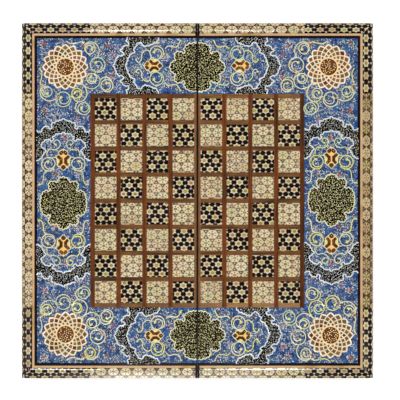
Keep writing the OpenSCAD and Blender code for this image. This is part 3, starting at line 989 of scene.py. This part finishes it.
# A palmette's edge, and its cells: place along and across it, length, width and turn
PALMETTE_EDGE = [
    (-15.2, 0), (-13, 3.4), (-10.4, 6.6), (-7.6, 6.2), (-5.6, 9.2), (-3.4, 11.2), (-1.2, 9.4), (2.6, 8.9),
    (7.4, 8.6), (10, 5.8), (15.4, 0),
]
PALMETTE_CELLS = [
    (-9.9, 3.1, 6.6, 5.4, 35), (-3.5, 6.3, 7.2, 4.2, -48), (-0.3, 3.3, 5.6, 4.4, 0),
    (3.7, 3.2, 5.4, 4.4, 12), (6.6, 5.2, 4.6, 4.0, 40),
]
PALMETTE_HEART = (11.0, 0, 6.4, 6.2, 0)

# The painter placed the motifs by eye: how far each quarter's rosette lies off its place, how far its arches
# slide along the border, away from the middle, how far its end arch leans across the border, and how far the
# medallions lie off their places
ROSETTE_OFF = {(-1, 1): (0, 0.8), (1, 1): (-1.2, 0.8), (-1, -1): (0.2, -0.6), (1, -1): (1.6, -2.0)}
SIDE_SLIDE = {(-1, 1): 0.8, (-1, -1): 6.0, (1, 1): 3.6, (1, -1): 3.4}
END_SLIDE = {(-1, 1): -0.2, (1, 1): -1.2, (-1, -1): -1.6, (1, -1): 0.2}
END_ARCH_LEAN = {(-1, 1): 0.0, (1, 1): 0.0, (-1, -1): 0.0, (1, -1): -2.4}
MEDALLION_OFF = {"back": -2.0, "front": 0.8, "left": -3.4, "right": 0.8}


def paints(names):
    return [f"{name}_paint" for name in names.split()]


# Tints that a motif's touches are drawn from. A tint that stands more than once comes up more often
LINE_TINTS = paints("cream cream sage lemon")
CELL_TINTS = paints("mocha umber umber plum plum wine mocha")
CELL_CORE_TINTS = paints("wine wine rose umber")
NET_TINTS = paints("peach peach blush cream")
SEED_TINTS = paints("peach blush peach gold brick gold brick")
MEDALLION_TINTS = paints("straw cream ochre straw cream lemon khaki mocha")
ARCH_TINTS = paints("silver pearl silver ochre slate lilac khaki")
PALMETTE_TINTS = paints("brick wine wine wine")
PALMETTE_DOT_TINTS = paints("coral brick brick gold")
RED_TINTS = paints("coral rose brick brick")
LILAC_TINTS = paints("lilac mauve violet rose")
SEPAL_TINTS = paints("pearl lilac sage soot")
GROUND_TINTS = paints("lilac ice pearl sage slate teal navy soot soot moss ochre rose violet lilac sage "
                      "ice moss sky soot moss mocha silver mauve")

# Widths of the paint lines
SCROLL_W = 1.35
SCROLL_EDGING_W = 2.7
NET_W = 1.1
PETAL_RIM_W = 1.5
COLLAR_W = 2.4
DISC_RIM_W = 0.9
MEDALLION_RIM_W = 1.5
ARCH_RIM_W = 1.65
PALMETTE_RIM_W = 1.1
FEELER_W = 1.2

# Lengths and widths of touches, and how widely the strokes stand that fill a medallion or an arch
SCROLL_BUD = (5.2, 2.5)
STEM_BUD = (4.2, 1.7)
SCROLL_LEAVES = (2.4, 3.6)
STEM_LEAVES = (2.2, 3.4)
LEAF_W = 1.1
SEPAL = (2.9, 1.2)
PETAL = (3.8, 2.2)
PALMETTE_LEAF = (8.0, 2.6)
MEDALLION_STEP = 2.2
ARCH_STEP = 2.15


def edged_line(shape, points, finish):
    """Pale paint line over a dark one that shows on both sides of it."""
    line(shape, points, SCROLL_EDGING_W, SPECK_TOP, "navy_paint")
    line(shape, points, SCROLL_W, LINE_TOP, finish)


def side_leaf(shape, place, lengths, dice):
    size = (dice.uniform(*lengths), LEAF_W)
    daub(shape, place, size, dice.uniform(0, 360), DETAIL_TOP, dice.choice(LINE_TINTS))


def scroll(shape, to_board, centre, radius, start, hand, dice):
    """Round scroll: a full ring that winds in to a bud near its middle."""
    steps, sweep = 34, 590
    winds_from, ring_loss, winding_loss = 0.58, 0.04, 0.56
    points = []
    for k in range(steps + 1):
        share = k / steps
        inward = max(0.0, share - winds_from) / (1 - winds_from)
        left = 1 - ring_loss * share - winding_loss * inward ** 0.6
        points.append(to_board(*polar_from(centre, radius * left, start + hand * sweep * share)))
    edged_line(shape, points, dice.choice(LINE_TINTS))
    for k in range(3):
        daub(shape, points[-1], SCROLL_BUD, dice.uniform(0, 60) + 60 * k, DETAIL_TOP, "lemon_paint")
    for k in (4, 12, 20):
        side_leaf(shape, points[k], SCROLL_LEAVES, dice)


def stem(shape, to_board, points, dice, bud=True):
    """Curved stem with small leaves, and a bud at its end."""
    path = [to_board(*p) for p in smooth(points)]
    edged_line(shape, path, dice.choice(LINE_TINTS))
    for place in path[3::5]:
        side_leaf(shape, place, STEM_LEAVES, dice)
    if bud:
        for _ in range(2):
            daub(shape, path[-1], STEM_BUD, dice.uniform(0, 180), DETAIL_TOP, "lemon_paint")


def rosette(shape, centre, dice):
    """Many-petalled flower: a pale net of crossing arcs over dark cells, and a dark disc full of seeds."""
    def petal_rim(k):
        fold = abs((k / PETAL_STEPS) % 1 - 0.5) * 2
        bulge = 0.45 * fold + 0.55 * math.sin(math.pi / 2 * fold)
        return polar_from(centre, ROSETTE_NOTCH + (ROSETTE_TIP - ROSETTE_NOTCH) * bulge,
                          360 * k / (PETALS * PETAL_STEPS))

    def net(ring, place):
        """Place in the net, whose tips are the petals and whose rings lie wider apart further out."""
        radius = DISC_R + (ROSETTE_TIP - DISC_R) * (ring / NET_RINGS) ** NET_SPREAD
        return polar_from(centre, radius, 360 / PETALS * place)

    def circle(radius):
        return [polar_from(centre, radius, 360 / DISC_STEPS * i) for i in range(DISC_STEPS)]

    rim = [petal_rim(k) for k in range(PETALS * PETAL_STEPS)]
    plate(shape, rim, PLATE_TOP, "blush_paint")
    for ring, share in enumerate(CELL_SHARES, 1):
        for k in range(PETALS):
            place = k + 0.5 * ((NET_RINGS - 1 - ring) % 2)
            middle = net(ring, place)
            inset = share * dice.uniform(0.92, 1.1)
            corners = [net(ring + out, place + on) for out, on in ((-1, 0), (0, 0.5), (1, 0), (0, -0.5))]
            cell = [tuple(m + inset * (c - m) for m, c in zip(middle, corner)) for corner in corners]
            plate(shape, cell, CELL_TOP, dice.choice(CELL_TINTS))
            core = [m + dice.uniform(-0.8, 0.8) for m in middle]
            size = (0.7 * ring, 0.4 * ring)
            daub(shape, core, size, dice.uniform(0, 360), INLAY_TOP, dice.choice(CELL_CORE_TINTS))
    for hand in (1, -1):
        for k in range(PETALS):
            path = [net(j / 3, k + 0.5 * hand * (NET_RINGS - j / 3)) for j in range(3 * NET_RINGS + 1)]
            line(shape, path, NET_W, ON_INLAY, dice.choice(NET_TINTS))
    line(shape, rim, PETAL_RIM_W, LINE_TOP, "blush_paint", closed=True)
    line(shape, circle(COLLAR_R), COLLAR_W, COLLAR_TOP, "peach_paint", closed=True)
    plate(shape, circle(DISC_R), DISC_TOP, "wine_paint")
    line(shape, circle(DISC_R), DISC_RIM_W, LINE_TOP, "gold_paint", closed=True)
    for k in range(SEEDS):
        finish = dice.choice(SEED_TINTS)
        place = polar_from(centre, SEED_SPREAD * math.sqrt(k + 0.5), SEED_TURN * k)
        dot(shape, place, dice.uniform(0.8, 1.25), DETAIL_TOP, finish)


def inside(outline, x, y):
    hit = False
    for (ax, ay), (bx, by) in edges(outline):
        if (ay > y) != (by > y) and x < ax + (y - ay) / (by - ay) * (bx - ax):
            hit = not hit
    return hit


def strokes(shape, outline, step, scale, tints, dice):
    """Hooked and straight brush strokes all over a plate with the given outline."""
    hooked_share = 0.6
    (low_x, high_x), (low_y, high_y) = [(min(values), max(values)) for values in zip(*outline)]
    for i in range(int((high_x - low_x) / step) + 1):
        for j in range(int((high_y - low_y) / step) + 1):
            x = low_x + (i + dice.uniform(0, 0.9)) * step
            y = low_y + (j + dice.uniform(0, 0.9)) * step
            if not inside(outline, x, y):
                continue
            finish = dice.choice(tints)
            if dice.random() < hooked_share:
                radius = dice.uniform(0.6, 1.0) * scale
                degrees, sweep = dice.uniform(0, 360), dice.uniform(120, 240)
                hook = [polar_from((x, y), radius, degrees + sweep * k / 3) for k in range(4)]
                line(shape, hook, 0.9 * scale, ON_PLATE, finish)
            else:
                size = (dice.uniform(1.6, 3.0) * scale, 1.25 * scale)
                daub(shape, (x, y), size, dice.uniform(0, 360), ON_PLATE, finish)


def medallion(shape, to_board, whole, dice):
    """Lobed dark medallion under hooked gold strokes, whole or only the half on one side of the split."""
    half = smooth(MEDALLION_EDGE + [(x, -y) for x, y in MEDALLION_EDGE[-2::-1]], 3)
    half = [(max(x, 0.0), y) for x, y in scalloped(half, -1, MEDALLION_SCALLOP)]
    edge = half + [(-x, y) for x, y in half[-2:0:-1]] if whole else half
    outline = [to_board(*p) for p in edge]
    plate(shape, outline, PLATE_TOP, "olive_soot")
    nearest = -math.inf if whole else STROKES_OFF_SPLIT
    inner = [to_board(max(MEDALLION_INSET * x, nearest), MEDALLION_INSET * y) for x, y in edge]
    strokes(shape, inner, MEDALLION_STEP, 0.92, MEDALLION_TINTS, dice)
    line(shape, outline, MEDALLION_RIM_W, LINE_TOP, "cream_paint", closed=whole, taper=False)


def round_crowned(points, steps=3):
    """Curve through half of an arch, which crosses the arch's middle squarely."""
    s, t = points[1]
    return smooth([(s, -t)] + points, steps)[steps:]


def arch(shape, to_board, outer, inner, dice):
    """Black scalloped band across the border, edged in white and filled with silver strokes."""
    for sign in (1, -1):
        paths = [[to_board(s, sign * t) for s, t in round_crowned(half)] for half in (outer, inner)]
        turn = 1 if signed_area(paths[0] + paths[1][::-1]) > 0 else -1
        paths = [scalloped(path, turn, ARCH_SCALLOP) for path in paths]
        band = paths[0] + paths[1][::-1]
        plate(shape, band, PLATE_TOP, "soot_paint")
        strokes(shape, band, ARCH_STEP, 0.85, ARCH_TINTS, dice)
        for path in paths:
            line(shape, path, ARCH_RIM_W, LINE_TOP, "pearl_paint", taper=False)


def palmette(shape, to_board, centre, size, degrees, dice):
    """Gold leaf bud with dark red cells, pointed along the border, which lies at the given angle."""
    def at(a, b):
        return to_board(centre - a * size, b * size)

    outline = [at(*p) for p in PALMETTE_EDGE + [(a, -b) for a, b in PALMETTE_EDGE[-2:0:-1]]]
    plate(shape, outline, INLAY_TOP, "gold_paint")
    line(shape, outline, PALMETTE_RIM_W, LINE_TOP, "cream_paint", closed=True)
    for hand in (-1, 1):
        daub(shape, at(2.6, hand * 7.4), PALMETTE_LEAF, degrees, LINE_TOP, "lemon_paint")
        feeler = [at(a, hand * b) for a, b in ((-3.2, 10.4), (-3.6, 13.6), (-2.4, 16.4))]
        line(shape, feeler, FEELER_W, LINE_TOP, "cream_paint")
    mirrored = [(a, -b, length, width, -turn) for a, b, length, width, turn in PALMETTE_CELLS]
    for a, b, length, width, turn in PALMETTE_CELLS + mirrored + [PALMETTE_HEART]:
        cos, sin = polar(1, turn)
        ring = []
        for k in range(8):
            px, py = polar(0.575, 45 * k)
            on, off = px * length, py * width
            ring.append(at(a + on * cos - off * sin, b + on * sin + off * cos))
        plate(shape, ring, INLAY_CELL_TOP, dice.choice(PALMETTE_TINTS))
        dot(shape, at(a, b), 0.6, LINE_TOP, dice.choice(PALMETTE_DOT_TINTS))


def flower(shape, centre, tints, dice):
    """Small flower: five petals of the given tints inside a ring of pale sepals."""
    for k in range(9):
        place = polar_from(centre, dice.uniform(4.4, 5.3), 40 * k)
        daub(shape, place, SEPAL, 40 * k + dice.uniform(-40, 40), LINE_TOP, dice.choice(SEPAL_TINTS))
    for k in range(5):
        daub(shape, polar_from(centre, 2.1, 72 * k), PETAL, 72 * k, DETAIL_TOP, dice.choice(tints))


def ground_specks(side, half):
    """Dense small leaves over the blue ground, thinner in patches where the blue shows."""
    shape = Shape(half, "painted_leaves")
    dice = random.Random(f"{half}leaves")
    step, margin = 1.85, 1.0
    patch_size, bare_from, bare_share = 10, 0.1, 0.9
    for i in range(int((PANEL_X - HINGE_X) / step)):
        for j in range(int(2 * PANEL_Y / step)):
            x = HINGE_X + (i + dice.uniform(0.1, 0.9)) * step
            y = -PANEL_Y + (j + dice.uniform(0.1, 0.9)) * step
            on_field = x < FIELD_X + margin and abs(y) < FIELD_Y + margin
            off_panel = x < HINGE_X + margin or x > PANEL_X - margin or abs(y) > PANEL_Y - margin
            on_rosette = math.hypot(x - ROSETTE[0], abs(y) - ROSETTE[1]) < ROSETTE_NOTCH
            on_medallion = min(math.hypot(x, abs(y) - BAND_Y), math.hypot(x - BAND_X, y)) < MEDALLION_R
            if on_field or off_panel or on_rosette or on_medallion:
                continue
            if noise.noise(Vector((side * x / patch_size, y / patch_size, 3.0))) > bare_from:
                if dice.random() < bare_share:
                    continue
            size = (dice.uniform(1.8, 3.6), dice.uniform(1.1, 1.8))
            daub(shape, (side * x, y), size, dice.uniform(0, 360), SPECK_TOP, dice.choice(GROUND_TINTS))
    shape.build("blue_paint")


# Width of the black margin, partly a wider ebony line and partly painted shade at the step up to the
# moulding, and how far it keeps off the panel's own faces
MARGIN_W = 1.1
MARGIN_OFF = 0.02


def dark_margin_and_shade(side, half):
    """Black band painted on the border's three free edges, which makes the ebony line look wider: partly the
    line's own black, partly painted shade at the step up to the moulding.
    """
    shape = Shape(half, "dark_margin_and_shade")
    inner_x, inner_y = PANEL_X - MARGIN_W, PANEL_Y - MARGIN_W
    outer_x, outer_y = PANEL_X - MARGIN_OFF, PANEL_Y - MARGIN_OFF
    section = rectangle(side * inner_x, side * outer_x, PAINT_BASE, SPECK_TOP)
    shape.prism(section, (0, 1), (-outer_y, outer_y), "soot_paint")
    for end in (-1, 1):
        section = rectangle(end * inner_y, end * outer_y, PAINT_BASE, SPECK_TOP)
        shape.prism(section, (1, 0), (side * (HINGE_X + MARGIN_OFF), side * inner_x), "soot_paint")
    shape.build("blue_paint")


def painted_ornament(side, half):
    """All motifs of one half's border."""
    names = ("rosettes", "medallions", "arches", "scrolls")
    rosettes, medallions, arches, scrolls = shapes = [Shape(half, name) for name in names]
    for end in (1, -1):
        dice = random.Random(f"{half}{end}")
        off_x, off_y = ROSETTE_OFF[side, end]
        rosette_x, rosette_y = ROSETTE[0] + side * off_x, ROSETTE[1] + end * off_y
        medallion_y = end * BAND_Y + MEDALLION_OFF["back" if end > 0 else "front"]

        def on_end(s, t):
            return (side * (s + END_SLIDE[side, end]), end * (BAND_Y + t))

        def leaning(s, t):
            """Place on the end border that leans most in its middle and keeps to both its edges."""
            x, y = on_end(s, t)
            return (x, y + end * END_ARCH_LEAN[side, end] * (1 - (t / ARCH_OUTER[-1][1]) ** 2))

        def on_side(s, t):
            return (side * (BAND_X + t), end * (s + SIDE_SLIDE[side, end]))

        def corner_end(e, f):
            return (side * (rosette_x - e), end * (rosette_y - f))

        def corner_side(e, f):
            return (side * (rosette_x - f), end * (rosette_y - e))

        def across_split(px, py):
            return (side * max(px, HINGE_X + MEDALLION_OFF_SPLIT), medallion_y + py)

        rosette(rosettes, (side * rosette_x, end * rosette_y), dice)
        medallion(medallions, across_split, False, dice)
        arch(arches, leaning, ARCH_OUTER, ARCH_INNER, dice)
        arch(arches, on_side, SIDE_ARCH_OUTER, SIDE_ARCH_INNER, dice)
        palmette(medallions, on_end, *END_PALMETTE, 0, dice)
        palmette(medallions, on_side, *SIDE_PALMETTE, 90, dice)
        for to_board in (corner_end, corner_side):
            for centre, radius, start, hand in CORNER_SCROLLS:
                scroll(scrolls, to_board, centre, radius, start, hand, dice)
            for points in CORNER_STEMS:
                stem(scrolls, to_board, points, dice, bud=False)
        for to_board, (s, t), outer_stem, hook in (
                (on_end, ARCH_SCROLL, ARCH_STEM, ARCH_HOOK),
                (on_side, SIDE_ARCH_SCROLL, SIDE_ARCH_STEM, SIDE_ARCH_HOOK)):
            for sign in (1, -1):
                scroll(scrolls, to_board, (s, sign * t), ARCH_SCROLL_R, 180 + sign * 60, -sign, dice)
                for points in (outer_stem, hook[::-1]):
                    stem(scrolls, to_board, [(along, sign * across) for along, across in points], dice)
        for places, tints in ((RED_FLOWERS, RED_TINTS), (LILAC_FLOWERS, LILAC_TINTS)):
            for x, y in places:
                flower(scrolls, (side * x, end * y), tints, dice)

    def on_middle(px, py):
        return (side * BAND_X + SIDE_MEDALLION_SCALE * py, MEDALLION_OFF[half] + SIDE_MEDALLION_SCALE * px)

    medallion(medallions, on_middle, True, random.Random(f"{half}mid"))
    for shape in shapes:
        shape.build("blue_paint")


# Finishes of the pieces that stay as the part has them
NODE_FINISH = {
    "deck_panel": "stained_ply", "front_rail": "walnut", "back_rail": "walnut", "outer_rail": "walnut",
    "hinge_rail": "walnut", "rim_edging": "rim_redwood", "moulding_end_caps": "ebony",
    "gold_line": "gold_line", "ebony_line": "ebony", "painted_border": "blue_ground", "long_bars": "redwood",
    "cross_bars": "cross_redwood", "lining": "maple", "dark_points": "dark_inlay",
    "light_points": "light_inlay", "hinge_leaves": "brass", "hinge_screws": "brass", "hinge_pins": "steel",
    "magnet_studs": "nickel", "steel_cups": "steel",
}


def dress_nodes():
    for name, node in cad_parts.items():
        finish = NODE_FINISH.get(name.removeprefix("left_").removeprefix("right_"))
        if finish:
            for slot in node.material_slots:
                slot.material = finishes[finish]


# Camera, floor and light

# The photograph's width in pixels, its scale at the chess face, and where the board's centre lies in it
PHOTO_PX = 400
PX_MM = 1.408
BOARD_PX = (197.4, 200.7)
LENS = 135.0
SENSOR = 36.0

# How far the floor reaches to each side, in metres
FLOOR_REACH = 4.0


def make_camera():
    """Straight above the board, so high that the lens sees the photograph's width at the chess face."""
    data = bpy.data.cameras.new("camera")
    data.lens = LENS
    data.sensor_width = SENSOR
    camera = add("camera", data)
    distance = PHOTO_PX * PX_MM * LENS / SENSOR
    shift_x = (PHOTO_PX / 2 - BOARD_PX[0]) * PX_MM
    shift_y = (BOARD_PX[1] - PHOTO_PX / 2) * PX_MM
    camera.location = (shift_x * MM, shift_y * MM, (FACE_Z + distance) * MM)
    bpy.context.scene.camera = camera


def seen_rays(graph):
    """1 for camera, glossy and transmission rays, and 0 for the rays that light the object."""
    rays = graph.node("LightPath").outputs
    camera_or_glossy = graph.math("MAXIMUM", rays["Is Camera Ray"], rays["Is Glossy Ray"])
    return graph.math("MAXIMUM", camera_or_glossy, rays["Is Transmission Ray"])


def make_floor():
    """Pale floor that keeps the shadow, and glows where it is seen and the air above it is open."""
    mesh = bpy.data.meshes.new("floor")
    corners = rectangle(-FLOOR_REACH, FLOOR_REACH, -FLOOR_REACH, FLOOR_REACH)
    mesh.from_pydata([(*corner, 0) for corner in corners], [], [(0, 1, 2, 3)])
    floor = add("floor", mesh)
    paper = Finish("floor_paper")
    open_air = paper.node("AmbientOcclusion", Distance=0.05).outputs["AO"]
    glow = paper.math("MULTIPLY", paper.math("MULTIPLY", seen_rays(paper), open_air), 0.8)
    paper.fill(paper.shader, Base_Color=(0.82, 0.82, 0.82, 1), Roughness=0.9, Specular_IOR_Level=0.1,
               Emission_Color=(1, 1, 1, 1), Emission_Strength=glow)
    mesh.materials.append(paper.material)
    follow_folding_half(floor)


def follow_folding_half(floor):
    """Keeps the floor under the box: level with the open board's feet, or the closed box's lower face."""
    half_depth = CROWN_Z * MM / 2
    marker = add("floor_marker", None)
    marker.location = (OUTER_X * MM, 0, half_depth)
    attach(marker, "right_half")
    floor.location.z = -half_depth
    follow = floor.constraints.new("COPY_LOCATION")
    follow.target = marker
    follow.use_x = False
    follow.use_y = False
    follow.use_offset = True


def make_world():
    """White studio round the object. Its ceiling is dark to reflections, so that the lacquer stays deep."""
    world = bpy.data.worlds.new("studio")
    graph = Graph(world)
    coords = graph.node("TexCoord")
    height = graph.node("SeparateXYZ", Vector=coords.outputs["Generated"]).outputs["Z"]
    wall_top, lit_ceiling, mirrored_ceiling = 0.15, 0.45, 0.50
    lighting = graph.remap(height, wall_top, lit_ceiling, low=0.9, high=0.22)
    mirrored = graph.remap(height, wall_top, mirrored_ceiling, low=1.0, high=0.04)
    graph.fill(graph.nodes["Background"].inputs, Color=(1, 1, 1, 1),
               Strength=graph.mix("FLOAT", seen_rays(graph), lighting, mirrored))
    bpy.context.scene.world = world


# Lamps that face the board: place and size in metres, and power
SOFTBOXES = {
    "left_softbox": ((-1.7, 0.0, 2.1), (1.2, 1.5), 4),
    "right_softbox": ((1.7, 0.0, 2.1), (1.2, 1.5), 1.2),
    "front_strip_left": ((-0.23, -0.88, 2.6), (0.21, 0.6), 17.5),
    "front_strip_right": ((0.15, -0.88, 2.6), (0.10, 0.6), 8.4),
    "back_strip_left": ((-0.49, 1.27, 2.6), (0.09, 0.9), 12.5),
    "back_strip_right": ((0.21, 1.27, 2.6), (0.23, 0.9), 23),
}


def make_lights():
    for name, (place, size, power) in SOFTBOXES.items():
        data = bpy.data.lights.new(name, "AREA")
        data.shape = "RECTANGLE"
        data.size, data.size_y = size
        data.energy = power
        lamp = add(name, data)
        lamp.location = place
        lamp.rotation_euler = (-Vector(place)).to_track_quat("-Z", "Y").to_euler()


make_finishes()
for side, half in ((-1, "left"), (1, "right")):
    chess_squares(side, half)
    mouldings(side, half)
    side_veneer(side, half)
    split_gap_shade(side, half)
    ground_specks(side, half)
    dark_margin_and_shade(side, half)
    painted_ornament(side, half)
dress_nodes()
make_camera()
make_floor()
make_world()
make_lights()
bpy.context.scene.view_settings.view_transform = "Standard"
